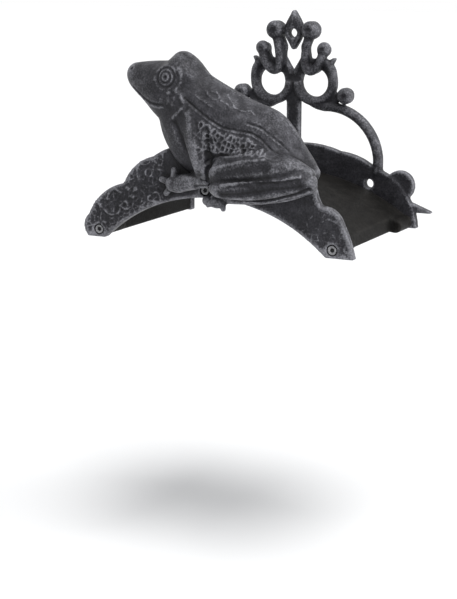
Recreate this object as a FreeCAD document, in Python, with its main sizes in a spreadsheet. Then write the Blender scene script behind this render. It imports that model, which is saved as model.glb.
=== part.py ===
import FreeCAD, Part
import math
import os

import Sketcher
from FreeCAD import Placement, Rotation, Vector

# A wall-hung hose hanger: an arched saddle between an openwork wall plate and a front plate with a frog.
# Heights are measured from the foot line, where the arch's inner edge ends, and depths from the wall.
# The wall is the plane Y = 0, the hanger stands out towards -Y, and the frog looks towards -X.

doc = FreeCAD.newDocument("hose_hanger")
sheet = doc.addObject("Spreadsheet::Sheet", "sizes")

SIZES = {
    # Arch of the front plate and the distance it stands from the wall
    "arch_radius": 158.0,
    "arch_half_span": 106.5,
    "crown_height": "=arch_radius - sqrt(arch_radius ^ 2 - arch_half_span ^ 2)",
    "foot_drop": 2.0,
    "hang_depth": 177.0,
    # Saddle
    "saddle_margin": 4.5,
    "saddle_half_span": "=arch_half_span + saddle_margin",
    "saddle_side_height": 12.0,
    "saddle_inset": 2.0,
    "saddle_wall": 4.5,
    "saddle_drop": 1.0,
    "boss_radius": 6.5,
    "boss_length": 30.0,
    # Screws through both plates, at the feet and at the crown
    "front_screw_margin": 8.5,
    "front_screw_side": "=arch_half_span + front_screw_margin",
    "front_screw_height": 5.0,
    "rear_screw_margin": 11.5,
    "rear_screw_side": "=arch_half_span + rear_screw_margin",
    "rear_screw_height": 4.0,
    "front_crown_side": -6.0,
    "crown_screw_rise": 6.7,
    "crown_screw_height": "=crown_height + crown_screw_rise",
    "screw_radius": 2.5,
    "screw_length": 22.0,
    "screw_room": 0.15,
    "screw_sides": 10,
    "head_radius": 4.25,
    "head_height": 2.6,
    "head_room": 0.6,
    "head_sink": 0.9,
    "flat_head_radius": 4.8,
    "flat_head_height": 2.6,
    # Front plate and frog
    "front_thick": 8.0,
    "left_foot_width": 12.4,
    "right_foot_width": 19.0,
    # Wall plate
    "wall_thick": 8.0,
    "wall_foot_width": 14.0,
    "wall_inset": 1.0,
    "wall_hole_width": 15.65,
    "wall_hole_reach": "=arch_radius + finial_hole_rise",
    "wall_hole_arc": "=arch_radius + wall_hole_width",
    "wall_circle": "=wall_hole_reach - sqrt(4 * wall_hole_arc ^ 2 - wall_hole_reach ^ 2) / sqrt(3)",
    "wall_hole_radius": 4.25,
    "rod_radius": 4.4,
    "rod_thick": 7.0,
    # Openwork crest, its heights measured from the arch's crown
    "finial_hole_rise": 134.71,
    "finial_top_rise": 155.7,
    "finial_foot_rise": 119.2,
    "finial_radius": 8.7,
    "finial_tip_half_width": 0.9,
    "finial_thick": 9.0,
    "ring_side": 22.3,
    "ring_rise": 88.7,
    "ring_radius": 18.0,
    "stem_half_width": 7.0,
    "branch_radius": 4.2,
    "branch_side": 13.2,
    "branch_rise": 110.2,
    "waist_side": 11.8,
    "waist_rise": 121.7,
    "ball_radius": 8.6,
    "ball_thick": 12.0,
    "ball_round": 2.6,
    "ball_side": 18.2,
    "ball_rise": 137.4,
    "curl_side": 19.0,
    "curl_rise": 107.2,
    "curl_radius": 7.4,
    "curl_rod_radius": 3.8,
    "curl_start": 150.0,
    "curl_sweep": 240.0,
    "bud_radius": 6.2,
    "bud_side": 31.1,
    "bud_rise": 119.2,
    "leaf_side": 42.5,
    "leaf_rise": 112.1,
    "leaf_root_side": 34.0,
    "leaf_root_rise": 103.7,
    "leaf_half_width": 4.6,
    "leaf_tip_half_width": 0.9,
    "shoulder_ball_side": 53.8,
    "shoulder_ball_rise": 77.2,
    "shoulder_ball_radius": 7.6,
    "scroll_side": 36.0,
    "scroll_rise": 14.7,
    "scroll_radius": 51.5,
    "scroll_start": -12.0,
    "scroll_sweep": 108.0,
    "volute_margin": 3.5,
    "volute_side": "=arch_half_span + volute_margin",
    "volute_height": 37.0,
    "volute_radius": 14.3,
    "spur_margin": 35.4,
    "spur_side": "=arch_half_span + spur_margin",
    "spur_height": 13.4,
    "spur_root_margin": 15.5,
    "spur_root_side": "=arch_half_span + spur_root_margin",
    "spur_root_height": 17.0,
    # Frog's middle plane and the line of its back
    "frog_forward": -3.5,
    "neck_side": -40.0,
    "neck_rise": 98.7,
    "torso_tilt": 29.0,
    "eye_side": -34.0,
    "eye_rise": 105.7,
    "eye_apart": 9.5,
    "eye_radius": 11.8,
    "far_leg_forward": 14.0,
    "toe_half_width": 4.4,
    "finger_half_width": 3.2,
    "digit_tip": 2.4,
    "trunk_sides": 14,
    "eye_sides": 12,
    "limb_sides": 8,
    "digit_sides": 5,
}

# Sections of the frog. The torso's run along its tilted back: along, rise, half height, half width.
# The other members' stand upright: side, rise over the arch's crown, distance from the middle plane,
# half height and half width.
TORSO_FIELDS = ("along", "rise", "tall", "wide")
LIMB_FIELDS = ("side", "rise", "out", "tall", "wide")
TRUNK = ("torso", "head", "brow")
SECTIONS = {
    "torso": [
        (8, -4, 29, 21),
        (38, -15, 40, 24),
        (72, -14, 41, 27),
        (104, -7, 38, 27),
        (136, -6, 24, 21),
        (157, -2, 10, 9),
    ],
    "head": [
        (-82, 105.0, 0, 5.0, 4.9),
        (-77, 103.4, 0, 10.8, 10.2),
        (-64, 98.8, 0, 17.5, 16),
        (-50, 92.5, 0, 24.7, 20),
        (-30, 85.2, 0, 31.5, 22),
        (-8, 79.7, 0, 25, 22),
    ],
    "brow": [
        (-49, 97, 0, 11, 10),
        (-40, 103.5, 0, 15, 16),
        (-30, 108.5, 0, 17.5, 19.5),
        (-19, 106, 0, 16.5, 18.5),
        (-6, 96, 0, 13, 14),
    ],
    "thigh": [
        (11, 23.7, 25, 5, 4.9),
        (22, 28.7, 26, 11.5, 9.5),
        (52, 33.7, 25, 14, 12),
        (84, 31.7, 21, 11.5, 11),
        (103, 26.7, 15, 5.5, 5.4),
    ],
    "shin": [
        (12, 13.7, 26, 4.5, 4.4),
        (24, 13.2, 28, 8, 7.9),
        (56, 14.7, 28, 8.4, 8.3),
        (90, 20.7, 23, 7.5, 7.4),
        (106, 23.7, 17, 4, 3.9),
    ],
    "foot": [
        (105, 19.2, 15, 4.5, 4.4),
        (80, 10.7, 18, 5.2, 5.1),
        (50, 5.7, 18, 5, 4.9),
        (26, 3.7, 16, 4.5, 4.4),
        (16, 2.7, 14, 3.5, 3.4),
    ],
    "upper_arm": [
        (-12, 76.7, 12, 12, 9),
        (-6, 56.7, 19, 12, 9),
        (0, 34.7, 21, 10, 8.5),
        (3, 20.7, 19, 7, 6.9),
    ],
    "forearm": [
        (7, 16.7, 17, 4.5, 4.4),
        (0, 18.2, 17, 7, 6.9),
        (-16, 14.7, 13, 7.2, 7.0),
        (-28, 11.9, 10, 7.6, 7.2),
        (-36, 11.0, 9, 6.0, 5.6),
    ],
}

rows = dict(SIZES)
for member, sections in SECTIONS.items():
    for number, values in enumerate(sections, 1):
        fields = TORSO_FIELDS if member == "torso" else LIMB_FIELDS
        for field, value in zip(fields, values):
            rows["%s_%d_%s" % (member, number, field)] = value
for row, alias in enumerate(rows, 1):
    sheet.set("A%d" % row, alias)
    sheet.setAlias("B%d" % row, alias)
for alias, value in rows.items():
    sheet.set(alias, str(value))
doc.recompute()


def size(alias):
    return float(sheet.get(alias))


# Fits that follow from the driving sizes
ARCH_CENTRE = -math.sqrt(size("arch_radius") ** 2 - size("arch_half_span") ** 2)
MOUNT_HEIGHT = "(sizes.crown_height + sizes.finial_hole_rise - sizes.wall_circle / 2)"
FRONT_BACK = "(sizes.hang_depth - sizes.front_thick)"
FROG_DEPTH = "(sizes.hang_depth + sizes.frog_forward)"
SCREW_HOLE = "(sizes.screw_radius + sizes.screw_room)"
HEAD_SEAT = "(sizes.hang_depth - sizes.head_height - sizes.head_sink)"
SCREW_END = "(%s - sizes.screw_length)" % HEAD_SEAT
FRONT_SCREWS = [
    ("-sizes.front_screw_side", "sizes.front_screw_height"),
    ("sizes.front_crown_side", "sizes.crown_screw_height"),
    ("sizes.front_screw_side", "sizes.front_screw_height"),
]
REAR_SCREWS = [
    ("-sizes.rear_screw_side", "sizes.rear_screw_height"),
    ("0", "sizes.crown_screw_height"),
    ("sizes.rear_screw_side", "sizes.rear_screw_height"),
]
# Turns that set a solid's own +Z along depth or along the hanger's width
TOWARDS_FRONT = Rotation(Vector(1, 0, 0), 90)
UPRIGHT_SECTION = Rotation(Vector(0, 0, 1), Vector(0, 1, 0), Vector(-1, 0, 0), "XYZ")


def value_of(expression):
    return float(sheet.evalExpression(expression))


def place(item, side="0", depth="0", height="0", turn=Rotation()):
    item.Placement = Placement(Vector(0, 0, 0), turn)
    item.setExpression("Placement.Base.x", side)
    item.setExpression("Placement.Base.y", "-(%s)" % depth)
    item.setExpression("Placement.Base.z", height)
    return item


def seat(item, label):
    item.Label = label
    item.setExpression("Placement.Base.z", "-" + MOUNT_HEIGHT)
    return item


def on_arch(share, width):
    """A point outside the arch, a share of the way from its crown to its right foot."""
    radius = size("arch_radius") + width
    turn = share * math.asin(size("arch_half_span") / size("arch_radius"))
    return Vector(radius * math.sin(turn), ARCH_CENTRE + radius * math.cos(turn), 0)


def foot_point(side_sign, width):
    radius = size("arch_radius") + width
    drop = -size("foot_drop")
    return Vector(side_sign * math.sqrt(radius ** 2 - (drop - ARCH_CENTRE) ** 2), drop, 0)


def scallop(start, end, bulge):
    chord = end - start
    outward = Vector(-chord.y, chord.x, 0).normalize()
    return Part.Arc(start, (start + end) * 0.5 + outward * bulge, end)


def front_opening():
    """Inner edge of the front plate: one arc from the right heel to the left."""
    return [Part.Arc(foot_point(1, 0), on_arch(0, 0), foot_point(-1, 0))]


def saddle_opening(grow, drop):
    """Inner side of the saddle, or a line a constant distance outside it: upright sides under a flat arch."""
    side = size("saddle_half_span") + grow
    springing = size("saddle_side_height")
    crown = on_arch(0, size("saddle_inset") + grow)
    right = Vector(side, springing, 0)
    left = Vector(-side, springing, 0)
    return [
        Part.LineSegment(Vector(side, -drop, 0), right),
        Part.Arc(right, crown, left),
        Part.LineSegment(left, Vector(-side, -drop, 0)),
    ]


def plate_edges(left_foot, notches, right_foot, last_bulge, opening):
    """Closed outline of an arch plate: scallops from notch to notch, level feet and the opening.

    A notch is its share of the way from crown to foot, its distance outside the arch and the bulge of the
    scallop before it.
    """
    corners = [foot_point(-1, left_foot)]
    edges = []
    for share, width, bulge in notches:
        corners.append(on_arch(share, width))
        edges.append(scallop(corners[-2], corners[-1], bulge))
    corners.append(foot_point(1, right_foot))
    edges.append(scallop(corners[-2], corners[-1], last_bulge))
    edges.append(Part.LineSegment(corners[-1], opening[0].StartPoint))
    edges += opening
    edges.append(Part.LineSegment(opening[-1].EndPoint, corners[0]))
    return edges


def front_view_sketch(body, name, depth):
    sketch = body.newObject("Sketcher::SketchObject", name)
    plane = [item for item in body.Origin.OriginFeatures if item.Role == "XZ_Plane"][0]
    sketch.AttachmentSupport = [(plane, "")]
    sketch.MapMode = "FlatFace"
    sketch.setExpression("AttachmentOffset.Base.z", depth)
    return sketch


def draw(sketch, edges):
    for edge in edges:
        sketch.addGeometry(edge)
    return sketch


def draw_circle(sketch, side, height, radius):
    centre = Vector(value_of(side), value_of(height), 0)
    circle = sketch.addGeometry(Part.Circle(centre, Vector(0, 0, 1), value_of(radius)))
    for kind, expression in (("DistanceX", side), ("DistanceY", height)):
        number = sketch.addConstraint(Sketcher.Constraint(kind, -1, 1, circle, 3, value_of(expression)))
        sketch.setExpression("Constraints[%d]" % number, expression)
    number = sketch.addConstraint(Sketcher.Constraint("Radius", circle, value_of(radius)))
    sketch.setExpression("Constraints[%d]" % number, radius)


def pad(body, sketch, name, length, to_wall=False):
    feature = body.newObject("PartDesign::Pad", name)
    feature.Profile = sketch
    feature.Reversed = to_wall
    feature.setExpression("Length", length)
    return feature


def pocket(body, sketch, name, length, to_wall):
    feature = body.newObject("PartDesign::Pocket", name)
    feature.Profile = sketch
    feature.Reversed = not to_wall
    feature.setExpression("Length", length)
    return feature


def cylinder(name, side, depth, height, radius, length):
    item = doc.addObject("Part::Cylinder", name)
    item.setExpression("Radius", radius)
    item.setExpression("Height", length)
    return place(item, side, depth, height, TOWARDS_FRONT)


def disc(name, point, radius, thick):
    return cylinder(name, point[0], "0", point[1], radius, thick)


def ring(name, point, radius, rod_radius, start="0", sweep="360"):
    """A flat-backed rod bent round a point, from a start angle through a sweep."""
    rim = disc(name + "_rim", point, "%s + %s" % (radius, rod_radius), "sizes.rod_thick")
    rim.setExpression("Angle", sweep)
    turn = Rotation(Vector(0, 0, 1), value_of(start))
    place(rim, point[0], "0", point[1], TOWARDS_FRONT.multiply(turn))
    eye = disc(name + "_eye", point, "%s - %s" % (radius, rod_radius), "sizes.rod_thick")
    return cut(name, rim, eye)


def ball(name, point, radius, thick):
    """A flat-backed knob with a bevelled face."""
    blank = disc(name + "_blank", point, radius, thick + " - sizes.ball_round")
    face = doc.addObject("Part::Cone", name + "_face")
    face.setExpression("Radius1", radius)
    face.setExpression("Radius2", radius + " - sizes.ball_round")
    face.setExpression("Height", "sizes.ball_round")
    place(face, point[0], thick + " - sizes.ball_round", point[1], TOWARDS_FRONT)
    return fuse(name, [blank, face])


def strap(name, start, end, start_half, end_half, thick):
    """A flat-backed bar between two points of the front view, tapered from one half width to the other."""
    run = "sqrt(({0} - ({2}))^2 + ({1} - ({3}))^2)".format(end[0], end[1], start[0], start[1])
    along = Vector(value_of(end[0]) - value_of(start[0]), 0, value_of(end[1]) - value_of(start[1]))
    across = Vector(along.z, 0, -along.x)
    item = doc.addObject("Part::Wedge", name)
    item.Ymin = 0
    item.setExpression("Ymax", run)
    for lowest, highest, half in (("Xmin", "Xmax", start_half), ("X2min", "X2max", end_half)):
        item.setExpression(lowest, "-(%s)" % half)
        item.setExpression(highest, half)
    for lowest, highest in (("Zmin", "Zmax"), ("Z2min", "Z2max")):
        setattr(item, lowest, 0)
        item.setExpression(highest, thick)
    return place(item, start[0], "0", start[1], Rotation(across, along, Vector(0, -1, 0), "YZX"))


def fuse(name, items):
    result = doc.addObject("Part::MultiFuse", name)
    result.Shapes = items
    return result


def cut(name, base, tool):
    result = doc.addObject("Part::Cut", name)
    result.Base = base
    result.Tool = tool
    return result


def both_sides(name, item):
    """The item and its mirror image across the hanger's middle."""
    twin = doc.addObject("Part::Mirroring", name)
    twin.Source = item
    twin.Normal = Vector(1, 0, 0)
    return [item, twin]


# Saddle: an arched tray with upright sides, and screw bosses along its front and rear ends.

def make_saddle():
    body = doc.addObject("PartDesign::Body", "saddle_body")
    drop = size("saddle_drop")
    inner = saddle_opening(0, drop)
    outer = saddle_opening(size("saddle_wall"), drop)
    section = front_view_sketch(body, "saddle_section", "sizes.wall_thick")
    draw(section, inner + outer)
    draw(section, [
        Part.LineSegment(inner[0].StartPoint, outer[0].StartPoint),
        Part.LineSegment(inner[-1].EndPoint, outer[-1].EndPoint),
    ])
    pad(body, section, "tray", FRONT_BACK + " - sizes.wall_thick")
    ends = (("rear", "sizes.wall_thick", False, REAR_SCREWS), ("front", FRONT_BACK, True, FRONT_SCREWS))
    for end, depth, to_wall, screws in ends:
        bosses = front_view_sketch(body, end + "_boss_circles", depth)
        holes = front_view_sketch(body, end + "_screw_circles", depth)
        for side, height in screws:
            draw_circle(bosses, side, height, "sizes.boss_radius")
            draw_circle(holes, side, height, SCREW_HOLE)
        pad(body, bosses, end + "_bosses", "sizes.boss_length", to_wall)
        pocket(body, holes, end + "_screw_holes", "sizes.screw_length", to_wall)
    return seat(body, "saddle")


# Wall plate: arch flange with a pierced crest of rods, balls and leaves, cast flat against the wall.

WALL_NOTCHES = [
    (-0.8848, 30, 3),
    (-0.6371, 31, 3),
    (-0.3539, 31, 3),
    (0, 30, 3),
    (0.3539, 31, 3),
    (0.6371, 31, 3),
    (0.8848, 30, 3),
]


def crest(alias):
    return "sizes.crown_height + sizes.%s_rise" % alias


def make_wall_plate():
    body = doc.addObject("PartDesign::Body", "wall_flange")
    outline = front_view_sketch(body, "wall_outline", "0")
    foot = size("wall_foot_width")
    opening = saddle_opening(-size("wall_inset"), size("foot_drop"))
    draw(outline, plate_edges(foot, WALL_NOTCHES, foot, 3, opening))
    pad(body, outline, "flange", "sizes.wall_thick")

    thick = "sizes.rod_thick"
    rod = "sizes.rod_radius"
    curl_rod = "sizes.curl_rod_radius"
    branch = "sizes.branch_radius"
    eye = ("0", crest("finial_hole"))
    spear_tip = ("0", crest("finial_top"))
    drop_tip = ("0", crest("finial_foot"))
    finial = ("sizes.finial_radius", "sizes.finial_tip_half_width", "sizes.finial_thick")
    stem_foot = ("0", "sizes.crown_screw_height")
    crotch = ("0", crest("ring"))
    elbow = ("sizes.branch_side", crest("branch"))
    waist = ("sizes.waist_side", crest("waist"))
    knob = ("sizes.ball_side", crest("ball"))
    curl = ("sizes.curl_side", crest("curl"))
    curl_side = ("sizes.curl_side + sizes.curl_radius", crest("curl"))
    bud = ("sizes.bud_side", crest("bud"))
    leaf_root = ("sizes.leaf_root_side", crest("leaf_root"))
    leaf_tip = ("sizes.leaf_side", crest("leaf"))
    leaf = ("sizes.leaf_half_width", "sizes.leaf_tip_half_width", thick)
    upper_ring = ("sizes.ring_side", crest("ring"))
    ring_foot = ("sizes.ring_side", crest("ring") + " - sizes.ring_radius")
    shoulder = ("sizes.shoulder_ball_side", crest("shoulder_ball"))
    scroll = ("sizes.scroll_side", crest("scroll"))
    volute = ("sizes.volute_side", "sizes.volute_height")
    spur_root = ("sizes.spur_root_side", "sizes.spur_root_height")
    spur_tip = ("sizes.spur_side", "sizes.spur_height")
    items = [
        body,
        disc("finial_eye", eye, "sizes.finial_radius", "sizes.finial_thick"),
        strap("finial_spear", eye, spear_tip, *finial),
        strap("finial_drop", eye, drop_tip, *finial),
        strap("stem", stem_foot, crotch, "sizes.stem_half_width", "sizes.stem_half_width", thick),
    ]
    right_side = [
        strap("finial_tie", ("0", knob[1]), knob, branch, branch, thick),
        strap("lower_branch", crotch, elbow, branch, branch, thick),
        disc("branch_elbow", elbow, branch, thick),
        strap("middle_branch", elbow, waist, branch, branch, thick),
        disc("branch_waist", waist, branch, thick),
        strap("upper_branch", waist, knob, branch, branch, thick),
        ball("big_ball", knob, "sizes.ball_radius", "sizes.ball_thick"),
        ring("upper_ring", upper_ring, "sizes.ring_radius", rod),
        ring("curl", curl, "sizes.curl_radius", curl_rod, "sizes.curl_start", "sizes.curl_sweep"),
        strap("bud_neck", curl_side, bud, branch, branch, thick),
        disc("bud", bud, "sizes.bud_radius", "sizes.finial_thick"),
        strap("leaf", leaf_root, leaf_tip, *leaf),
        ring("scroll", scroll, "sizes.scroll_radius", rod, "sizes.scroll_start", "sizes.scroll_sweep"),
        strap("shoulder_neck", ring_foot, shoulder, branch, branch, thick),
        disc("shoulder_ball", shoulder, "sizes.shoulder_ball_radius", "sizes.finial_thick"),
        disc("volute", volute, "sizes.volute_radius", thick),
        strap("spur", spur_root, spur_tip, *leaf),
    ]
    for item in right_side:
        items += both_sides(item.Name + "_left", item)
    casting = fuse("wall_casting", items)
    casting.Refine = True

    low_side = "(sizes.wall_circle / 4 * sqrt(3))"
    low_height = "(%s - sizes.wall_circle * 3 / 4)" % crest("finial_hole")
    tools = []
    for number, point in enumerate((eye, (low_side, low_height), ("-" + low_side, low_height)), 1):
        tools.append(disc("wall_hole_%d" % number, point, "sizes.wall_hole_radius", "sizes.finial_thick"))
    for number, point in enumerate(REAR_SCREWS, 1):
        tools.append(disc("rear_hole_%d" % number, point, SCREW_HOLE, "sizes.wall_thick"))
        tools.append(countersink("rear_sink_%d" % number, *point))
    return seat(cut("wall_plate_finished", casting, fuse("wall_cuts", tools)), "wall_plate")


def countersink(name, side, height):
    item = doc.addObject("Part::Cone", name)
    item.setExpression("Radius1", "sizes.flat_head_radius")
    item.setExpression("Radius2", SCREW_HOLE)
    item.setExpression("Height", "sizes.flat_head_height")
    return place(item, side, "0", height, TOWARDS_FRONT)


# Frog and front plate: one casting. The frog's members are lofted through many-sided oval sections.

def oval(name, sides, tall, wide):
    """A closed outline of half height `tall` along its own X and half width `wide` along its own Y."""
    item = doc.addObject("Part::Polygon", name)
    steps = [2 * math.pi * number / sides for number in range(sides)]
    item.Nodes = [Vector(tall * math.cos(step), wide * math.sin(step), 0) for step in steps]
    item.Close = True
    return item


def section(member, number, turn):
    cell = "%s_%d_" % (member, number)
    sides = int(size("trunk_sides" if member in TRUNK else "limb_sides"))
    item = oval("%s_oval_%d" % (member, number), sides, size(cell + "tall"), size(cell + "wide"))
    if member != "torso":
        cell = "sizes." + cell
        height = "sizes.crown_height + " + cell + "rise"
        return place(item, cell + "side", FROG_DEPTH + " + " + cell + "out", height, turn)
    tilt = "(sizes.torso_tilt * 1 deg)"
    turned = "sizes.{0}along * {1}{4} {2} sizes.{0}rise * {3}{4}"
    side = "sizes.neck_side + " + turned.format(cell, "cos", "+", "sin", tilt)
    height = "sizes.crown_height + sizes.neck_rise - (" + turned.format(cell, "sin", "-", "cos", tilt) + ")"
    return place(item, side, FROG_DEPTH, height, turn)


def loft(member, turn=UPRIGHT_SECTION, straight=False):
    result = doc.addObject("Part::Loft", member)
    result.Ruled = straight
    result.Sections = [section(member, number, turn) for number in range(1, len(SECTIONS[member]) + 1)]
    result.Solid = True
    return result


def eyeball():
    """A dome lofted level by level, like the limbs."""
    result = doc.addObject("Part::Loft", "eye")
    radius = size("eye_radius")
    levels = []
    for number, angle in enumerate((-62, -25, 12, 48, 77)):
        level_radius = radius * math.cos(math.radians(angle))
        level = oval("eye_oval_%d" % number, int(size("eye_sides")), level_radius, level_radius)
        rise = "sizes.crown_height + sizes.eye_rise + sizes.eye_radius * sin(%d deg)" % angle
        levels.append(place(level, "sizes.eye_side", FROG_DEPTH + " + sizes.eye_apart", rise))
    result.Sections = levels
    result.Ruled = True
    result.Solid = True
    return result


def far_side(item, forward="0"):
    twin = doc.addObject("Part::Mirroring", "far_" + item.Name)
    twin.Source = item
    twin.Normal = Vector(0, 1, 0)
    twin.setExpression("Base.y", "-" + FROG_DEPTH)
    twin.setExpression("Placement.Base.x", "-" + forward)
    return twin


def digit(name, member, tip, half_width):
    """A toe or finger: a spike from the end of its limb."""
    cell = "sizes.%s_%d_" % (member, len(SECTIONS[member]))
    depth = value_of(FROG_DEPTH + " + " + cell + "out")
    root = Vector(value_of(cell + "side"), -depth, value_of("sizes.crown_height + " + cell + "rise"))
    axis = Vector(tip[0], -tip[1], tip[2])
    turn = Rotation(Vector(0, 0, 1), axis)
    ends = []
    for end, share, half in (("root", 0, half_width), ("tip", 1, "digit_tip")):
        item = oval("%s_%s" % (name, end), int(size("digit_sides")), size(half), size(half))
        item.Placement = Placement(root + axis * share, turn)
        ends.append(item)
    result = doc.addObject("Part::Loft", name)
    result.Sections = ends
    result.Solid = True
    return result


# Digits' ends, measured from the end of their limb: sideways, forward and up
TOES = [(-13, 4, -7), (5, 6, -10), (-11, -2, 1)]
FINGERS = [(3, 0, 12), (-10, -1, 3), (-6, -1, -8)]
FRONT_NOTCHES = [
    (-1.0123, 26.5, 5),
    (-0.6607, 29.6, 6),
    (-0.3917, 42.0, 5),
    (-0.2124, 46.0, 2),
    (0.4483, 40.0, 2),
    (0.7079, 40.0, 2),
    (0.7881, 31.5, -1),
    (0.9556, 32.6, 4),
]


def make_front_plate():
    body = doc.addObject("PartDesign::Body", "front_arch")
    outline = front_view_sketch(body, "front_outline", FRONT_BACK)
    feet = (size("left_foot_width"), size("right_foot_width"))
    draw(outline, plate_edges(feet[0], FRONT_NOTCHES, feet[1], 1, front_opening()))
    pad(body, outline, "arch_plate", "sizes.front_thick")

    torso_turn = Rotation(Vector(0, 1, 0), size("torso_tilt")).multiply(UPRIGHT_SECTION)
    items = [body, loft("torso", torso_turn)]
    thigh = loft("thigh")
    eye = eyeball()
    arm = loft("upper_arm", Rotation(), straight=True)
    items += [loft(member, straight=True) for member in ("head", "brow", "shin", "foot", "forearm")]
    items += [thigh, arm, eye]
    items += [far_side(thigh, "sizes.far_leg_forward"), far_side(arm), far_side(eye)]
    for number, tip in enumerate(TOES, 1):
        items.append(digit("toe_%d" % number, "foot", tip, "toe_half_width"))
    for number, tip in enumerate(FINGERS, 1):
        items.append(digit("finger_%d" % number, "forearm", tip, "finger_half_width"))
    casting = fuse("front_casting", items)

    recess = "sizes.head_radius + sizes.head_room"
    tools = []
    for number, (side, height) in enumerate(FRONT_SCREWS, 1):
        name = "front_screw_%d" % number
        tools.append(cylinder(name + "_hole", side, SCREW_END, height, SCREW_HOLE, "sizes.screw_length"))
        tools.append(cylinder(name + "_recess", side, HEAD_SEAT, height, recess, "sizes.front_thick"))
    return seat(cut("front_plate_finished", casting, fuse("front_cuts", tools)), "frog_front_plate")


# Screws: pan heads in the front plate's recesses, flat heads level with the wall plate's back.

def prism(name, side, depth, height, radius, length):
    item = doc.addObject("Part::Prism", name)
    item.setExpression("Polygon", "sizes.screw_sides")
    item.setExpression("Circumradius", radius)
    item.setExpression("Height", length)
    return place(item, side, depth, height, TOWARDS_FRONT)


def screw_group(name, shank_depth, screws, make_head):
    group = doc.addObject("Part::Compound", name + "_group")
    links = []
    for number, (side, height) in enumerate(screws, 1):
        shank_name = "%s_shank_%d" % (name, number)
        shank = prism(shank_name, side, shank_depth, height, "sizes.screw_radius", "sizes.screw_length")
        head = make_head("%s_head_%d" % (name, number), side, height)
        links.append(fuse("%s_%d" % (name, number), [shank, head]))
    group.Links = links
    return seat(group, name)


def pan_head(name, side, height):
    return prism(name, side, HEAD_SEAT, height, "sizes.head_radius", "sizes.head_height")


parts = [
    make_saddle(),
    make_wall_plate(),
    make_front_plate(),
    screw_group("front_screws", SCREW_END, FRONT_SCREWS, pan_head),
    screw_group("rear_screws", "0", REAR_SCREWS, countersink),
]
doc.recompute()

failed = [item.Name for item in doc.Objects if "Invalid" in item.State or "Error" in item.State]
assert not failed, "failed: " + ", ".join(failed)
for part in parts:
    assert not part.Shape.isNull(), part.Label + " is empty"
    assert part.Shape.isValid(), part.Label + " is not valid"

os.makedirs("parts", exist_ok=True)
for part in parts:
    part.Shape.exportStep("parts/%s.step" % part.Label)
    print("%s: %d solids, %.0f mm3" % (part.Label, len(part.Shape.Solids), part.Shape.Volume))
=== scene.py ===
import math

import bmesh
import bpy
import numpy as np
from mathutils import Matrix, Vector
from mathutils.kdtree import KDTree


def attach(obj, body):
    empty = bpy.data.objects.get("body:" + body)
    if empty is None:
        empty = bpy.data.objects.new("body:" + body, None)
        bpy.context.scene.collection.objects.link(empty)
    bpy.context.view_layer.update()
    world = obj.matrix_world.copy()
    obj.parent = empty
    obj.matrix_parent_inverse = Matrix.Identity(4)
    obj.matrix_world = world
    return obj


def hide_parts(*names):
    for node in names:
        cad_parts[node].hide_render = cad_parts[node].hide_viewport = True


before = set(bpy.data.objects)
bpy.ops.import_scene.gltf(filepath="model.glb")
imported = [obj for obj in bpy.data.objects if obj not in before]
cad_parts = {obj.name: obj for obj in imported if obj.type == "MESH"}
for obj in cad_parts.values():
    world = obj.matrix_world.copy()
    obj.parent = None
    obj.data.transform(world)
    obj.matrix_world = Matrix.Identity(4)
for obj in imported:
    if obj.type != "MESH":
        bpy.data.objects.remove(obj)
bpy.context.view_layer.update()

# Wall plate: one flat iron casting that is screwed to the wall, an arched flange below and a
# pierced crest of rods, curls and balls above. The mould rounds the rods and dimples the balls,
# and the spear in the middle rises to a ridge above and below its screw hole.
MM = 0.001
FOOT_LINE = -83.6
WALL_VOXEL, WALL_SOFTENING, WALL_RELIEF = 0.8, 7, 0.8
RELIEF_ROUNDS, WIDER_ROUNDS, WIDER_REACH = 14, 7, 4
# Balls of one side: distance from the middle, height, radius, half depth
CREST_BALLS = ((18.2, 178.7, 8.8, 8.4), (32.0, 161.5, 6.8, 7.0), (54.2, 118.5, 7.9, 7.4))
# Rods of one side: line of distances and heights, radius, distance of the line from the wall
CREST_RODS = (
    (
        (
            (32, 160), (30.2, 153), (26, 145), (20, 140.6), (14.9, 142.4),
            (13.2, 149.3), (13.8, 158.5), (15.8, 169), (17.8, 177),
        ),
        4.3, 8.6,
    ),
    (
        ((1.5, 137), (8.0, 147.3), (12.2, 155.2), (12.8, 163), (13.6, 170)),
        3.8, 4.2,
    ),
    (
        (
            (3.9, 130), (5.2, 122.8), (9.6, 116.6), (17, 112.6), (27, 112.3), (34, 116), (39, 122.5),
            (40.9, 131), (40.2, 140), (37.5, 145), (33, 148.6), (28, 150),
        ),
        4.35, 5.0,
    ),
    (
        (
            (86.7, 47.1), (86.7, 64.9), (80.6, 81.8), (69.1, 95.5), (53.6, 104.4), (40.5, 107.3),
            (31, 107.6), (24, 109.2), (17.5, 112.6),
        ),
        4.4, 4.6,
    ),
)
BALL_SIDES, ROD_SIDES, ROD_STEPS = 40, 20, 5
BALL_DIMPLE, DIMPLE_REACH, DIMPLED_RADIUS = 2.2, 4.6, 8.0
# Spear from its lower tip to its upper one: height, half width
SPEAR_LEAF = (
    (160.0, 0.9), (164.0, 3.6), (170.0, 7.4), (177.0, 9.2), (184.0, 8.8), (190.0, 5.6), (197.3, 0.9),
)
SPEAR_HOLE_HEIGHT, SPEAR_HOLE, SPEAR_SIDES = 176.0, 4.5, 72
SPEAR_NEAR, SPEAR_REACH, SPEAR_STEP = 5.5, 24.0, 0.1
SPEAR_BACK, SPEAR_EDGE, SPEAR_RIDGE, SPEAR_TAPER = 0.5, 6.5, 4.4, 5.0


def points_of(mesh):
    flat = np.empty(len(mesh.vertices) * 3, np.float32)
    mesh.vertices.foreach_get("co", flat)
    return flat.reshape(-1, 3).astype(float) / MM


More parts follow.
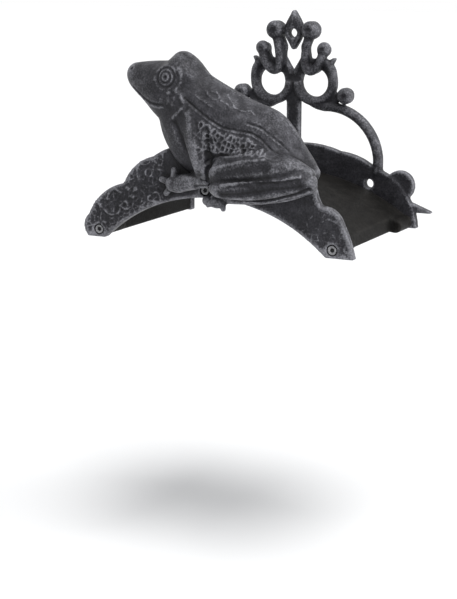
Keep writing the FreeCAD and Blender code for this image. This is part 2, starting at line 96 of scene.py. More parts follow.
def normals_of(mesh):
    flat = np.empty(len(mesh.vertices) * 3, np.float32)
    mesh.vertices.foreach_get("normal", flat)
    return flat.reshape(-1, 3).astype(float)


def edges_of(mesh):
    flat = np.empty(len(mesh.edges) * 2, np.int32)
    mesh.edges.foreach_get("vertices", flat)
    return flat.reshape(-1, 2)


def move_to(mesh, points):
    mesh.vertices.foreach_set("co", (points * MM).astype(np.float32).ravel())
    mesh.update()


def evened(values, edges, rounds):
    """Values drawn towards those of the neighbours, so many times."""
    count = len(values)
    degree = np.maximum(np.bincount(edges.ravel(), minlength=count), 1)[:, None]
    for _ in range(rounds):
        total = np.zeros_like(values)
        for axis in range(values.shape[1]):
            total[:, axis] += np.bincount(edges[:, 0], values[edges[:, 1], axis], count)
            total[:, axis] += np.bincount(edges[:, 1], values[edges[:, 0], axis], count)
        values = (values + total / degree) / 2
    return values


def curve_through(rows, steps):
    """More rows, on a smooth curve through the given ones."""
    rows = np.array(rows, float)
    ends = np.vstack([2 * rows[0] - rows[1], rows, 2 * rows[-1] - rows[-2]])
    made = []
    for number in range(1, len(ends) - 2):
        before, start, end, after = ends[number - 1:number + 3]
        for share in np.arange(steps) / steps:
            bend = (2 * before - 5 * start + 4 * end - after) * share ** 2
            bend = bend + (3 * start - before - 3 * end + after) * share ** 3
            made.append(start + ((end - before) * share + bend) / 2)
    made.append(rows[-1])
    return np.array(made)


def skinned(name, node_name, shape, voxel, softening):
    """One closed skin over the node's own form and what is added to it, softened like a casting."""
    shape.from_mesh(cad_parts[node_name].data)
    mesh = bpy.data.meshes.new(name)
    shape.to_mesh(mesh)
    shape.free()
    obj = bpy.data.objects.new(name, mesh)
    bpy.context.scene.collection.objects.link(obj)
    skin = obj.modifiers.new("skin", "REMESH")
    skin.mode = "VOXEL"
    skin.voxel_size = voxel * MM
    skin.use_smooth_shade = True
    evaluated = obj.evaluated_get(bpy.context.evaluated_depsgraph_get())
    done = bpy.data.meshes.new_from_object(evaluated)
    obj.modifiers.clear()
    obj.data = done
    done.name = name
    done.materials.clear()
    move_to(done, evened(points_of(done), edges_of(done), softening))
    return obj


def keep_relief(mesh, rounds, reach, rub_and_painted_shade=0.0):
    """Stores how far each point stands above its near and wider surroundings, for the coat.

    Any extra rub and painted shade that is given is added to it.
    """
    points = points_of(mesh)
    edges = edges_of(mesh)
    near = evened(points, edges, rounds)
    wide = evened(near, edges, WIDER_ROUNDS * rounds)
    stands = (points - near) / reach + (near - wide) / (WIDER_REACH * reach)
    over = (stands * normals_of(mesh)).sum(axis=1) + rub_and_painted_shade
    relief = mesh.attributes.new("relief", "FLOAT", "POINT")
    relief.data.foreach_set("value", np.clip(over, -1, 1).astype(np.float32))


def turns(sides):
    """The angles of so many even steps round a circle."""
    return np.arange(sides) * 2 * math.pi / sides


def add_ball(shape, centre, half_sizes, sides=BALL_SIDES):
    size = Matrix.Diagonal((*(Vector(half_sizes) * MM), 1))
    place = Matrix.Translation(Vector(centre) * MM) @ size
    bmesh.ops.create_uvsphere(
        shape, u_segments=sides, v_segments=sides // 2, radius=1, matrix=place
    )


def join_sides(shape, first, second):
    """A band of faces from one ring to the next."""
    for number in range(len(first)):
        after = (number + 1) % len(first)
        shape.faces.new((first[number], first[after], second[after], second[number]))


def join_rings(shape, rings):
    """Faces from ring to ring, closed at both ends."""
    for first, second in zip(rings[:-1], rings[1:]):
        join_sides(shape, first, second)
    shape.faces.new(rings[0][::-1])
    shape.faces.new(rings[-1])


def add_rod(shape, line, radius, depth, hand):
    """A round rod along a line of the front view."""
    line = curve_through(line, ROD_STEPS) * (hand, 1)
    angles = turns(ROD_SIDES)
    along = np.gradient(line, axis=0)
    along /= np.linalg.norm(along, axis=1)[:, None]
    circles = []
    for (side, height), (run, rise) in zip(line, along):
        circle = []
        for out, front in zip(radius * np.cos(angles), radius * np.sin(angles)):
            spot = (side - rise * out, -depth - front, FOOT_LINE + height + run * out)
            circle.append(shape.verts.new(Vector(spot) * MM))
        circles.append(circle)
    join_rings(shape, circles)


crest = bmesh.new()
for hand in (-1, 1):
    for side, height, radius, half_depth in CREST_BALLS:
        centre = (hand * side, -half_depth, height + FOOT_LINE)
        add_ball(crest, centre, (radius, half_depth, radius))
    for line, radius, depth in CREST_RODS:
        add_rod(crest, line, radius, depth, hand)

# The spear is joined from rings: the hole behind and in front, halfway, the rim in front and behind
leaf_heights, leaf_halves = np.array(SPEAR_LEAF).T
reach = np.arange(SPEAR_NEAR, SPEAR_REACH, SPEAR_STEP)
spear = [[], [], [], [], []]
for turn in turns(SPEAR_SIDES):
    across, up = math.cos(turn), math.sin(turn)
    halves = np.interp(SPEAR_HOLE_HEIGHT + reach * up, leaf_heights, leaf_halves, 0, 0)
    rim = reach[np.abs(reach * across) <= halves][-1]
    halfway = (SPEAR_HOLE + rim) / 2
    stations = (
        (SPEAR_HOLE, False), (SPEAR_HOLE, True), (halfway, True), (rim, True), (rim, False),
    )
    for ring, (away, in_front) in zip(spear, stations):
        half = np.interp(SPEAR_HOLE_HEIGHT + away * up, leaf_heights, leaf_halves)
        rise = SPEAR_RIDGE * max(0.0, 1 - abs(away * across) / half) * min(1.0, half / SPEAR_TAPER)
        out = SPEAR_EDGE + rise if in_front else SPEAR_BACK
        spot = (away * across, -out, FOOT_LINE + SPEAR_HOLE_HEIGHT + away * up)
        ring.append(crest.verts.new(Vector(spot) * MM))
for first, second in zip(spear, spear[1:] + spear[:1]):
    join_sides(crest, first, second)

wall = skinned("wall_plate_cast", "wall_plate", crest, WALL_VOXEL, WALL_SOFTENING)
points = points_of(wall.data)
normals = normals_of(wall.data)
aside = np.abs(points[:, 0])
heights = points[:, 2] - FOOT_LINE
facing = np.clip(-normals[:, 1], 0, 1)
push = np.zeros(len(points))
for side, height, radius, _ in CREST_BALLS:
    away = np.hypot(aside - side, heights - height)
    dimple = BALL_DIMPLE * radius / DIMPLED_RADIUS
    push -= facing * dimple * np.exp(-(away / DIMPLE_REACH) ** 2)
move_to(wall.data, points + normals * push[:, None])
keep_relief(wall.data, RELIEF_ROUNDS, WALL_RELIEF)

# The antique coat: rubbed back to grey metal where the relief stands up, with uneven patches and
# the grain of sand casting. The hollows are darkened, partly the coat's own dark and partly painted
# shade, and faces that point up are paler, partly dust and partly painted light from above.
coat = bpy.data.node_groups.new("worn_coat_and_painted_light", "ShaderNodeTree")
for label, kind in (("Dark", "Color"), ("Pale", "Color"), ("Relief", "Float"), ("Rub_and_top_light", "Float")):
    coat.interface.new_socket(label, in_out="INPUT", socket_type="NodeSocket" + kind)
for label, kind in (("Color", "Color"), ("Roughness", "Float"), ("Normal", "Vector")):
    coat.interface.new_socket(label, in_out="OUTPUT", socket_type="NodeSocket" + kind)


def node(tree, kind, inputs=(), **settings):
    """A shader node with its settings, and values or links on its sockets."""
    made = tree.nodes.new("ShaderNode" + kind)
    for label, value in settings.items():
        setattr(made, label, value)
    for label, value in dict(inputs).items():
        if isinstance(value, bpy.types.NodeSocket):
            tree.links.new(value, made.inputs[label])
        else:
            made.inputs[label].default_value = value
    return made


def math_of(tree, operation, first, second):
    return node(tree, "Math", {0: first, 1: second}, operation=operation).outputs[0]


def ranged(tree, value, low, high, to_low, to_high):
    """A value taken smoothly from one range to another."""
    inputs = {
        "Value": value, "From Min": low, "From Max": high, "To Min": to_low, "To Max": to_high,
    }
    return node(tree, "MapRange", inputs, interpolation_type="SMOOTHSTEP").outputs[0]


def noise(tree, scale, detail, roughness=0.5):
    place = node(tree, "TexCoord").outputs["Object"]
    inputs = {"Vector": place, "Scale": scale, "Detail": detail, "Roughness": roughness}
    return node(tree, "TexNoise", inputs).outputs[0]


given = coat.nodes.new("NodeGroupInput").outputs
patches = noise(coat, 30.0, 4.0)
clouds = noise(coat, 110.0, 6.0, 0.7)
specks = noise(coat, 650.0, 3.0)
grain = noise(coat, 1500.0, 2.0)
broken = math_of(coat, "MULTIPLY", given["Relief"], ranged(coat, clouds, 0.3, 0.7, 0.6, 1.2))
stands = math_of(coat, "ADD", broken, ranged(coat, specks, 0.3, 0.7, -0.1, 0.1))
rubbed_and_top_lit = math_of(coat, "MULTIPLY", ranged(coat, stands, 0.05, 0.95, 0.0, 1.0), given["Rub_and_top_light"])
upward = node(coat, "SeparateXYZ", {0: node(coat, "NewGeometry").outputs["Normal"]}).outputs[2]
# Paler faces that point up: partly dust, partly painted light from above.
dust_and_top_light = ranged(coat, upward, -0.3, 1.0, 0.03, 0.4)
dust_and_top_light = math_of(coat, "MULTIPLY", dust_and_top_light, ranged(coat, clouds, 0.35, 0.75, 0.1, 1.0))
rubbed_and_top_lit = math_of(coat, "MAXIMUM", rubbed_and_top_lit, math_of(coat, "MULTIPLY", dust_and_top_light, given["Rub_and_top_light"]))
# Hollows are darker still: partly the coat's own dark, partly painted shade.
dark_hollow_and_shade = ranged(coat, given["Relief"], -0.7, 0.0, 0.4, 1.0)
tone = math_of(coat, "MULTIPLY", ranged(coat, patches, 0.3, 0.7, 0.8, 1.18), dark_hollow_and_shade)
tone = math_of(coat, "MULTIPLY", tone, ranged(coat, specks, 0.32, 0.68, 0.7, 1.3))
tone = math_of(coat, "MULTIPLY", tone, ranged(coat, clouds, 0.3, 0.7, 0.78, 1.25))
dark_to_pale = {0: rubbed_and_top_lit, 6: given["Dark"], 7: given["Pale"]}
mixed = node(coat, "Mix", dark_to_pale, data_type="RGBA").outputs[2]
toned = node(coat, "VectorMath", {0: mixed, "Scale": tone}, operation="SCALE").outputs[0]
gloss = ranged(coat, patches, 0.3, 0.7, 0.46, 0.58)
gloss = math_of(coat, "SUBTRACT", gloss, math_of(coat, "MULTIPLY", rubbed_and_top_lit, 0.1))
rough_skin = math_of(coat, "ADD", math_of(coat, "ADD", specks, grain), clouds)
bump = node(coat, "Bump", {"Height": rough_skin, "Strength": 0.7, "Distance": 0.0005}).outputs[0]
put_out = coat.nodes.new("NodeGroupOutput").inputs
for label, value in (("Color", toned), ("Roughness", gloss), ("Normal", bump)):
    coat.links.new(value, put_out[label])


def coated(name, dark, pale, rub_and_top_light, metallic, sheen):
    """A finish in the worn coat, with its own two colours and its own amount of wear and painted top
    light.
    """
    material = bpy.data.materials.new(name)
    material.use_nodes = True
    tree = material.node_tree
    shader = tree.nodes["Principled BSDF"]
    shader.inputs["Metallic"].default_value = metallic
    shader.inputs["Specular IOR Level"].default_value = sheen
    relief = node(tree, "Attribute", attribute_name="relief").outputs["Fac"]
    wear_and_shade = tree.nodes.new("ShaderNodeGroup")
    wear_and_shade.node_tree = coat
    wear_and_shade.inputs["Dark"].default_value = dark
    wear_and_shade.inputs["Pale"].default_value = pale
    wear_and_shade.inputs["Rub_and_top_light"].default_value = rub_and_top_light
    tree.links.new(relief, wear_and_shade.inputs["Relief"])
    tree.links.new(wear_and_shade.outputs["Color"], shader.inputs["Base Color"])
    tree.links.new(wear_and_shade.outputs["Roughness"], shader.inputs["Roughness"])
    tree.links.new(wear_and_shade.outputs["Normal"], shader.inputs["Normal"])
    return material


antique = coated(
    "antique_iron", dark=(0.021, 0.0206, 0.0245, 1), pale=(0.19, 0.19, 0.208, 1),
    rub_and_top_light=0.78, metallic=0.15, sheen=0.2,
)
wall.data.materials.append(antique)
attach(wall, "root")
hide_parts("wall_plate")

# Rear screws: three turned steel screws from behind the wall plate into the saddle, their flat
# heads level with the plate's back.
REAR_SCREW_VOXEL, SCREW_SOFTENING = 0.4, 2
SCREW_RELIEF_ROUNDS, SCREW_RELIEF = 8, 0.4
steel = coated(
    "screw_steel", dark=(0.05, 0.05, 0.053, 1), pale=(0.3, 0.3, 0.31, 1),
    rub_and_top_light=0.7, metallic=0.5, sheen=0.3,
)


def screw_skin(name, node_name, voxel):
    """A set of screws in one skin of steel."""
    screws = skinned(name, node_name, bmesh.new(), voxel, SCREW_SOFTENING)
    keep_relief(screws.data, SCREW_RELIEF_ROUNDS, SCREW_RELIEF)
    screws.data.materials.append(steel)
    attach(screws, "root")
    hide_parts(node_name)
    return screws


screw_skin("rear_screws_turned", "rear_screws", REAR_SCREW_VOXEL)

# Saddle: the plain arched shell between the plates that takes the load, cast in iron with screw
# bosses at its front and rear ends. It is painted matt black, and the paint softens its edges. Its
# colour is darker than the black paint alone: the rest is painted shade.
SADDLE_VOXEL, SADDLE_SOFTENING = 1.2, 4
SADDLE_RELIEF_ROUNDS, SADDLE_RELIEF = 10, 1.0
saddle = skinned("saddle_cast", "saddle", bmesh.new(), SADDLE_VOXEL, SADDLE_SOFTENING)
keep_relief(saddle.data, SADDLE_RELIEF_ROUNDS, SADDLE_RELIEF)
# Near-black colour: the black paint, made darker with painted shade.
black_paint_and_shade = coated(
    "black_paint", dark=(0.009, 0.0085, 0.008, 1), pale=(0.03, 0.028, 0.026, 1),
    rub_and_top_light=0.4, metallic=0.0, sheen=0.05,
)
saddle.data.materials.append(black_paint_and_shade)
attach(saddle, "root")
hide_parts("saddle")

# Front plate: an iron casting screwed to the front of the saddle, an arch with a notched outline
# and scroll relief, in one piece with the large frog that sits on it. The frog's eyes are ringed,
# folds run along its back and its flank is covered with a net of warts.
FROG_VOXEL, FROG_SOFTENING, FROG_RELIEF = 0.94, 5, 0.6
FROG_MID, PLATE_OUT, SWELL = 173.5, 3.5, 0.4
LIMB_SIDES, LIMB_STEPS = 40, 6
# Torso: way down the back from the neck, rise over it, half height, half width
NECK_SIDE, NECK_HEIGHT, TORSO_TILT = -40.0, 140.0, math.radians(29)
TORSO = (
    (8, -4, 29, 21), (38, -15, 40, 24), (72, -14, 41, 27),
    (104, -7, 38, 27), (136, -6, 24, 21), (157, -2, 10, 9),
)
# Other members: side, height, out from the middle plane, half height, half width
HEAD = (
    (-82, 146.3, 0, 5.0, 4.9), (-77, 144.7, 0, 10.8, 10.2), (-64, 140.1, 0, 17.5, 16),
    (-50, 133.8, 0, 24.7, 20), (-30, 126.5, 0, 31.5, 22), (-8, 121, 0, 25, 22),
)
BROW = (
    (-49, 138.3, 0, 11, 10), (-40, 144.8, 0, 15, 16), (-30, 149.8, 0, 17.5, 19.5),
    (-19, 147.3, 0, 16.5, 18.5), (-6, 137.3, 0, 13, 14),
)
THIGH = (
    (11, 65, 25, 5, 4.9), (22, 70, 26, 11.5, 9.5), (52, 75, 25, 14, 12),
    (84, 73, 21, 11.5, 11), (103, 68, 15, 5.5, 5.4),
)
SHIN = (
    (12, 55, 26, 4.5, 4.4), (24, 54.5, 28, 8, 7.9), (56, 56, 28, 8.4, 8.3),
    (90, 62, 23, 7.5, 7.4), (106, 65, 17, 4, 3.9),
)
FOOT = (
    (105, 60.5, 15, 4.5, 4.4), (80, 52, 18, 5.2, 5.1), (50, 47, 18, 5, 4.9),
    (26, 45, 16, 4.5, 4.4), (16, 44, 14, 3.5, 3.4),
)
UPPER_ARM = (
    (-12, 118, 12, 12, 9), (-6, 98, 19, 12, 9), (0, 76, 21, 10, 8.5), (3, 62, 19, 7, 6.9),
)
FOREARM = (
    (7, 58, 17, 4.5, 4.4), (0, 59.5, 17, 7, 6.9), (-16, 56, 13, 7.2, 7),
    (-28, 53.2, 10, 7.6, 7.2), (-36, 52.3, 9, 6, 5.6),
)
FAR_LEG_FORWARD = 14.0
# Lumps: side, out, height, and half sizes along these three
EYE_SIDE, EYE_OUT, EYE_HEIGHT, EYE_RADIUS = -34.0, 9.5, 147.0, 12.1
SNOUT = (-73.5, 0.0, 145.8, 9.3, 10.0, 11.0)
FOOT_WEB = (13.0, 17.5, 40.0, 9.0, 3.0, 4.5)
INNER_TOE = (-1.0, 8.0, 40.0, 5.0, 3.5, 4.8)
ELBOW_FILL = (9.5, 19.5, 73.0, 6.0, 7.0, 16.0)
PALM = (-33.0, 10.5, 53.0, 7.5, 6.0, 6.8)
# Fingers: lines through side, out and height
FINGERS = (
    ((-31, 12, 56), (-32.5, 11, 61), (-33, 9.5, 65.5)),
    ((-36, 9.5, 54), (-42, 8, 55), (-47, 7, 55.6)),
    ((-35, 9.5, 50), (-39, 8, 47), (-42.5, 7, 43.6)),
)
FINGER_HALF, FINGER_SIDES = 2.8, 12
# Places where the members melt into each other: side, height, reach, share
SOFT_PLACES = ((-30, 148, 30, 0.9), (-55, 136, 26, 0.6), (10, 118, 52, 0.8), (70, 92, 26, 0.7))
SOFT_ROUNDS, SOFT_EDGE = 110, 3.0


def add_limb(shape, rows, tall_way):
    """A member through ovals that stand along the given way of the front view."""
    angles = turns(LIMB_SIDES)
    ovals = []
    for side, height, out, tall, wide in curve_through(rows, LIMB_STEPS):
        rises = (tall + SWELL) * np.cos(angles)
        depths = FROG_MID + out + (wide + SWELL) * np.sin(angles)
        oval = []
        for rise, depth in zip(rises, depths):
            spot = (side + rise * tall_way[0], -depth, FOOT_LINE + height + rise * tall_way[1])
            oval.append(shape.verts.new(Vector(spot) * MM))
        ovals.append(oval)
    join_rings(shape, ovals)


def add_lump(shape, side, out, height, *half_sizes, sides=BALL_SIDES):
    """A rounded lump at a place of the frog."""
    add_ball(shape, (side, -FROG_MID - out, FOOT_LINE + height), half_sizes, sides)


def far_side(rows, forward=0.0):
    """The same member on the far side of the frog, set forward."""
    return [(side - forward, height, -out, tall, wide) for side, height, out, tall, wide in rows]


def torso_row(along, rise, tall, wide):
    """A row of the torso, turned from its slope to side and height."""
    side = NECK_SIDE + along * math.cos(TORSO_TILT) + rise * math.sin(TORSO_TILT)
    height = NECK_HEIGHT - along * math.sin(TORSO_TILT) + rise * math.cos(TORSO_TILT)
    return (side, height, 0, tall, wide)


frog = bmesh.new()
torso_rows = [torso_row(*row) for row in TORSO]
add_limb(frog, torso_rows, (math.sin(TORSO_TILT), math.cos(TORSO_TILT)))
for rows in (HEAD, BROW, THIGH, SHIN, FOOT, FOREARM, far_side(THIGH, FAR_LEG_FORWARD)):
    add_limb(frog, rows, (0, 1))
for rows in (UPPER_ARM, far_side(UPPER_ARM)):
    add_limb(frog, rows, (1, 0))
for out in (EYE_OUT, -EYE_OUT):
    add_lump(frog, EYE_SIDE, out, EYE_HEIGHT, EYE_RADIUS, EYE_RADIUS, EYE_RADIUS)
for lump in (SNOUT, FOOT_WEB, INNER_TOE, ELBOW_FILL, PALM):
    add_lump(frog, *lump)
for line in FINGERS:
    for spot in curve_through(line, LIMB_STEPS):
        add_lump(frog, *spot, FINGER_HALF, FINGER_HALF, FINGER_HALF, sides=FINGER_SIDES)
frog_plate = skinned(
    "frog_front_plate_cast", "frog_front_plate", frog, FROG_VOXEL, FROG_SOFTENING
)
points = points_of(frog_plate.data)
soft = evened(points, edges_of(frog_plate.data), SOFT_ROUNDS)
share = np.zeros(len(points))
for side, height, reach, most in SOFT_PLACES:
    away = np.hypot(points[:, 0] - side, points[:, 2] - FOOT_LINE - height)
    share = np.maximum(share, most * np.clip(2 - 2 * away / reach, 0, 1))
share *= np.clip((np.abs(points[:, 1] + FROG_MID) - PLATE_OUT) / SOFT_EDGE, 0, 1)
points += share[:, None] * (soft - points)
move_to(frog_plate.data, points)

# Relief is drawn on the softened skin, by side, out and height, and pushed along its normals.
# Narrow lines are a little uneven, as if cut by hand.
LINE_STEPS, NARROW = 5, 2.0
CUT_LEVEL, CUT_SWING = 0.8, 0.3
FAR_OFF, LINE_MARGIN = 1000.0, 8.0
normals = normals_of(frog_plate.data)
spots = np.stack([points[:, 0], -points[:, 1] - FROG_MID, points[:, 2] - FOOT_LINE], axis=1)
sides, outs, heights = spots.T
front_view = spots[:, ::2]
push = np.zeros(len(points))
near_skin = KDTree(len(spots))
for number, spot in enumerate(spots):
    near_skin.insert(spot, number)
near_skin.balance()
slant = np.sin(0.61 * sides + 0.37 * heights)
cross = np.sin(0.53 * heights - 0.29 * sides + 1)
uneven = CUT_LEVEL + CUT_SWING * slant * cross


def gap_to(places, line):
    """How far each place is from a line; those well away from it count as far off."""
    line = np.array(line, float)
    gap = np.full(len(places), FAR_OFF)
    low, high = line.min(axis=0) - LINE_MARGIN, line.max(axis=0) + LINE_MARGIN
    close = np.all((places > low) & (places < high), axis=1)
    near = places[close]
    least = gap[close]
    for start, end in zip(line[:-1], line[1:]):
        run = end - start
        share = np.clip((near - start) @ run / max(run @ run, 1e-9), 0, 1)
        least = np.minimum(least, np.linalg.norm(near - start - share[:, None] * run, axis=1))
    gap[close] = least
    return gap


def ridge(line, height, width, drop=0.0):
    """A raised or sunk line on both flanks, drawn so far under the given one."""
    made = np.zeros(len(spots))
    for hand in (1, -1):
        way = (curve_through(line, LINE_STEPS) - (0, 0, drop)) * (1, hand, 1)
        on_skin = [near_skin.find(spot)[0] for spot in way]
        made = np.maximum(made, np.exp(-(gap_to(spots, on_skin) / width) ** 2))
    return height * made * (uneven if width < NARROW else 1)


def rings(centre, profile):
    """Raised and sunk rings round a point of both flanks, given as radius, height and width."""
    made = np.zeros(len(spots))
    for hand in (1, -1):
        middle = near_skin.find(np.array(centre) * (1, hand, 1))[0]
        away = np.linalg.norm(spots - middle, axis=1)
        for radius, height, width in profile:
            made += height * np.exp(-((away - radius) / width) ** 2)
    return made * uneven


# Head: ringed eyes under a lid, a disc behind the jaw, the mouth and the nostrils
EYE_MIDDLE, CHEEK, NOSTRIL = (-35.0, 18.7, 146.3), (-29.0, 21.3, 126.0), (-74.5, 8.6, 151.1)
EYE_RINGS = (
    (0, -0.9, 1.3), (2.9, 0.5, 0.9), (4.8, -0.5, 0.8),
    (6.6, 0.4, 0.9), (8.6, -0.5, 0.9), (10.6, 0.5, 1.1),
)
CHEEK_RINGS = ((0, 1.0, 8.0),)
NOSTRIL_RINGS = ((0, -1.4, 1.3), (2.6, 0.5, 1.0))
LID = (
    (-22.5, 20.5, 154.5), (-20.2, 18.6, 147.5), (-21, 18.8, 141),
    (-25, 20.4, 136.2), (-31, 21.0, 133.6),
)
BROW_EDGE = ((-46.5, 17.5, 143), (-46.5, 17.0, 149), (-43, 18.2, 155), (-37, 20.5, 159.5))
CHEEK_EDGE = (
    (-23.6, 20.7, 133.6), (-20.2, 20.8, 131.8), (-17.3, 21.2, 127.6), (-15.4, 22.2, 122.9),
    (-18.3, 22.4, 119.3), (-22.4, 22.2, 115.7), (-26, 22.2, 112.5),
)
MOUTH = (
    (-72, 11.0, 135.5), (-66, 13.0, 131.2), (-56.1, 15.6, 125.9),
    (-46.2, 18.9, 122.7), (-37, 21.2, 122.8),
)
# Line, height, width, drop
HEAD_RELIEF = (
    (LID, 1.1, 1.7), (BROW_EDGE, 0.9, 1.5), (CHEEK_EDGE, 1.2, 1.6),
    (MOUTH, -1.0, 1.0), (MOUTH, 0.8, 1.2, 2.4),
)
for centre, profile in ((EYE_MIDDLE, EYE_RINGS), (CHEEK, CHEEK_RINGS), (NOSTRIL, NOSTRIL_RINGS)):
    push += rings(centre, profile)
for row in HEAD_RELIEF:
    push += ridge(*row)

# Trunk: two folds along the back, each with a hollow above it, swirls, and the net of warts
BACK_FOLD = (
    (-15.2, 21.0, 127.3), (-5.5, 22.0, 119.8), (4.1, 22.9, 114.1), (12.7, 24.0, 109.2),
    (21.1, 24.8, 105.3), (33.0, 24.7, 103.2), (47.5, 23.9, 101.2), (58.0, 23.4, 96.5),
    (66.7, 23.0, 88.1), (74.0, 22.0, 81.0),
)
UPPER_FOLD = (
    (43.4, 21.8, 109.6), (54.8, 21.0, 106.6), (64.4, 20.6, 100.9),
    (72.5, 19.0, 95.0), (80.8, 16.0, 87.2),
)
NECK_FOLD = ((-6.1, 18.8, 132.0), (2.2, 19.3, 127.0), (10.7, 20.0, 122.1))
SWIRLS = (
    (
        (1.5, 14.0, 135.5), (5.5, 16.0, 130.5), (10.6, 15.9, 128.0),
        (14.3, 13.5, 129.7), (10.5, 11.8, 133.9), (6.0, 12.9, 134.7),
    ),
    ((16.0, 14.7, 127.2), (21.2, 15.1, 124.8), (27.0, 16.6, 121.2)),
    ((19.3, 9.4, 131.4), (26.2, 13.2, 125.8), (28.9, 15.5, 122.1)),
    ((30.3, 15.4, 121.7), (37.4, 15.7, 119.4), (43.4, 13.7, 119.9), (47.9, 14.9, 117.2)),
)
SWIRL_RISE, SWIRL_WIDTH = 0.7, 1.1
TRUNK_RELIEF = (
    (BACK_FOLD, 0.45, 1.1), (BACK_FOLD, -1.2, 0.9, -1.9),
    (UPPER_FOLD, 0.35, 1.1), (UPPER_FOLD, -1.0, 0.9, -1.9), (NECK_FOLD, 0.6, 1.1),
)
WART_LOW, WART_HIGH, WART_CELL, WART_STRAY = (-4.0, 83.0), (80.0, 118.0), 4.8, 2.3
WART_RISE, WART_LEAST, WART_MOST, WART_WIDTH = 1.6, 0.35, 1.25, 1.8
FLANK_OUT, FOLD_GAP = 16.0, 1.5
FADE_TOP, FADE_FOOT, FADE_FRONT, FADE_REAR = 2.0, 4.0, 8.0, 6.0
rng = np.random.default_rng(7)


def stray_cells(low, high, cell, stray):
    """Middles of cells on a grid of the front view, each strayed a little."""
    across, up = np.arange(low[0], high[0], cell), np.arange(low[1], high[1], cell)
    columns, rows = np.meshgrid(across, up)
    middles = np.stack([columns.ravel(), rows.ravel()], axis=1)
    return middles + rng.uniform(-stray, stray, middles.shape)


def net_between(cells, cell_rise, places, width):
    """Raised lines where two cells meet, as high as the nearer cell says."""
    gaps = np.linalg.norm(places[:, None] - cells[None], axis=2)
    mine = gaps.argmin(axis=1)
    gaps.partition(1, axis=1)
    return cell_rise[mine] * np.exp(-((gaps[:, 1] - gaps[:, 0]) / width) ** 2)


for row in TRUNK_RELIEF:
    push += ridge(*row)
for swirl in SWIRLS:
    push += ridge(swirl, SWIRL_RISE, SWIRL_WIDTH)
warts = stray_cells(WART_LOW, WART_HIGH, WART_CELL, WART_STRAY)
wart_rise = WART_RISE * rng.uniform(WART_LEAST, WART_MOST, len(warts))
fold_sides, _, fold_heights = np.array(BACK_FOLD).T
under_fold = np.interp(sides, fold_sides, fold_heights) - FOLD_GAP - heights
on_flank = np.clip(under_fold / FADE_TOP, 0, 1) * (np.abs(outs) > FLANK_OUT)
on_flank *= np.clip((heights - WART_LOW[1]) / FADE_FOOT, 0, 1)
on_flank *= np.clip((sides - WART_LOW[0]) / FADE_FRONT, 0, 1)
on_flank *= np.clip((WART_HIGH[0] - sides) / FADE_REAR, 0, 1)
worked = np.nonzero(on_flank > 0)[0]
push[worked] += on_flank[worked] * net_between(warts, wart_rise, front_view[worked], WART_WIDTH)

# Limbs: the arm stands out between two hollows, and the folded leg is ridged where its parts
# press together
ARM_LINE = ((-11, 21, 116), (-6, 27, 98), (-2, 29, 86), (1, 29, 74))
ARM_FRONT = ((-24, 20, 108), (-19, 24, 96), (-13, 26, 82), (-9, 26, 70))
ARM_BACK = ((8, 26, 104), (10, 27, 92), (11.5, 27, 80), (12, 26, 70))
ELBOW = (
    (6.4, 25.5, 100), (5.5, 25.8, 91), (5, 26.8, 82), (5.2, 27.2, 73), (5.2, 25.4, 64), (5.4, 21.9, 58),
)
ELBOW_UNDER = ((-5, 21, 53), (1, 22, 53), (7, 20, 53.5))
FOREARM_TOP = ((4.5, 22, 60), (-6, 22, 61), (-19, 17, 60))
THIGH_TOP = (
    (8, 24.8, 73.6), (17.3, 25.2, 78.7), (30.9, 32.3, 82.6), (43.1, 32.9, 84.7), (51, 29.1, 87),
)
THIGH_LINE = (
    (12.5, 29.6, 69.5), (24.2, 34.8, 74.1), (38.7, 35.9, 78.2),
    (50.1, 35.1, 80.6), (66.5, 32.7, 82.6),
)
LEG_RIDGE = (
    (27, 34.9, 58.5), (47.5, 33.8, 61.6), (65.9, 31.4, 65.2), (84, 29, 68.0), (95, 26.5, 69.3),
)
SHIN_RIDGE = (
    (42, 24, 44.5), (61.4, 21.7, 45.7), (79.4, 22.6, 50.7), (90.2, 21, 53.9), (99.2, 19.7, 57),
)
LIMB_RELIEF = (
    (ARM_LINE, 2.2, 5.0), (ARM_FRONT, -1.8, 3.0), (ARM_BACK, -1.8, 2.6),
    (ELBOW, 1.3, 2.2), (FOREARM_TOP, 0.9, 2.0), (ELBOW_UNDER, -2.0, 3.5),
    (THIGH_TOP, 1.1, 1.5), (THIGH_TOP, -1.0, 1.4, -3.0),
    (THIGH_LINE, 0.8, 1.2), (THIGH_LINE, -1.1, 4.0, 7.0),
    (LEG_RIDGE, 2.3, 1.5), (LEG_RIDGE, -0.6, 1.9, -4.2), (LEG_RIDGE, -2.8, 5.4, 8.5),
    (SHIN_RIDGE, 1.7, 1.4), (SHIN_RIDGE, -1.3, 1.8, -4.0),
)
for row in LIMB_RELIEF:
    push += ridge(*row)

# Plate: scrolls, rings and fine veins in low relief on the arms, lower on the right one
SCROLL_LINES = (
    ((-114.2, 28.4), (-109.7, 24.8), (-104.4, 20.5), (-98, 19.8), (-92.6, 22.9), (-91.6, 26.1)),
    ((-111.7, 19.9), (-111.8, 13.6), (-107.3, 12.3)),
    ((-90.5, 40.3), (-97.6, 42.9), (-103.1, 38.6), (-105, 33.8)),
    ((-91.6, 28.5), (-86.1, 32.8), (-83.5, 29.1)),
    ((-90.7, 27.8), (-86.2, 25.8), (-80, 28)),
    ((-89.1, 16.1), (-95.5, 10.1), (-101, 8)),
    ((-62, 38.9), (-53.3, 43.6), (-50.8, 35.5), (-62, 35.3), (-62, 38.9)),
    ((106.6, 29.1), (111.7, 31.4), (120.9, 28.3)),
    ((107.8, 19.6), (113.9, 20.1), (118.0, 16.6)),
    ((93.3, 20.4), (92.2, 27.9), (97, 33)),
)
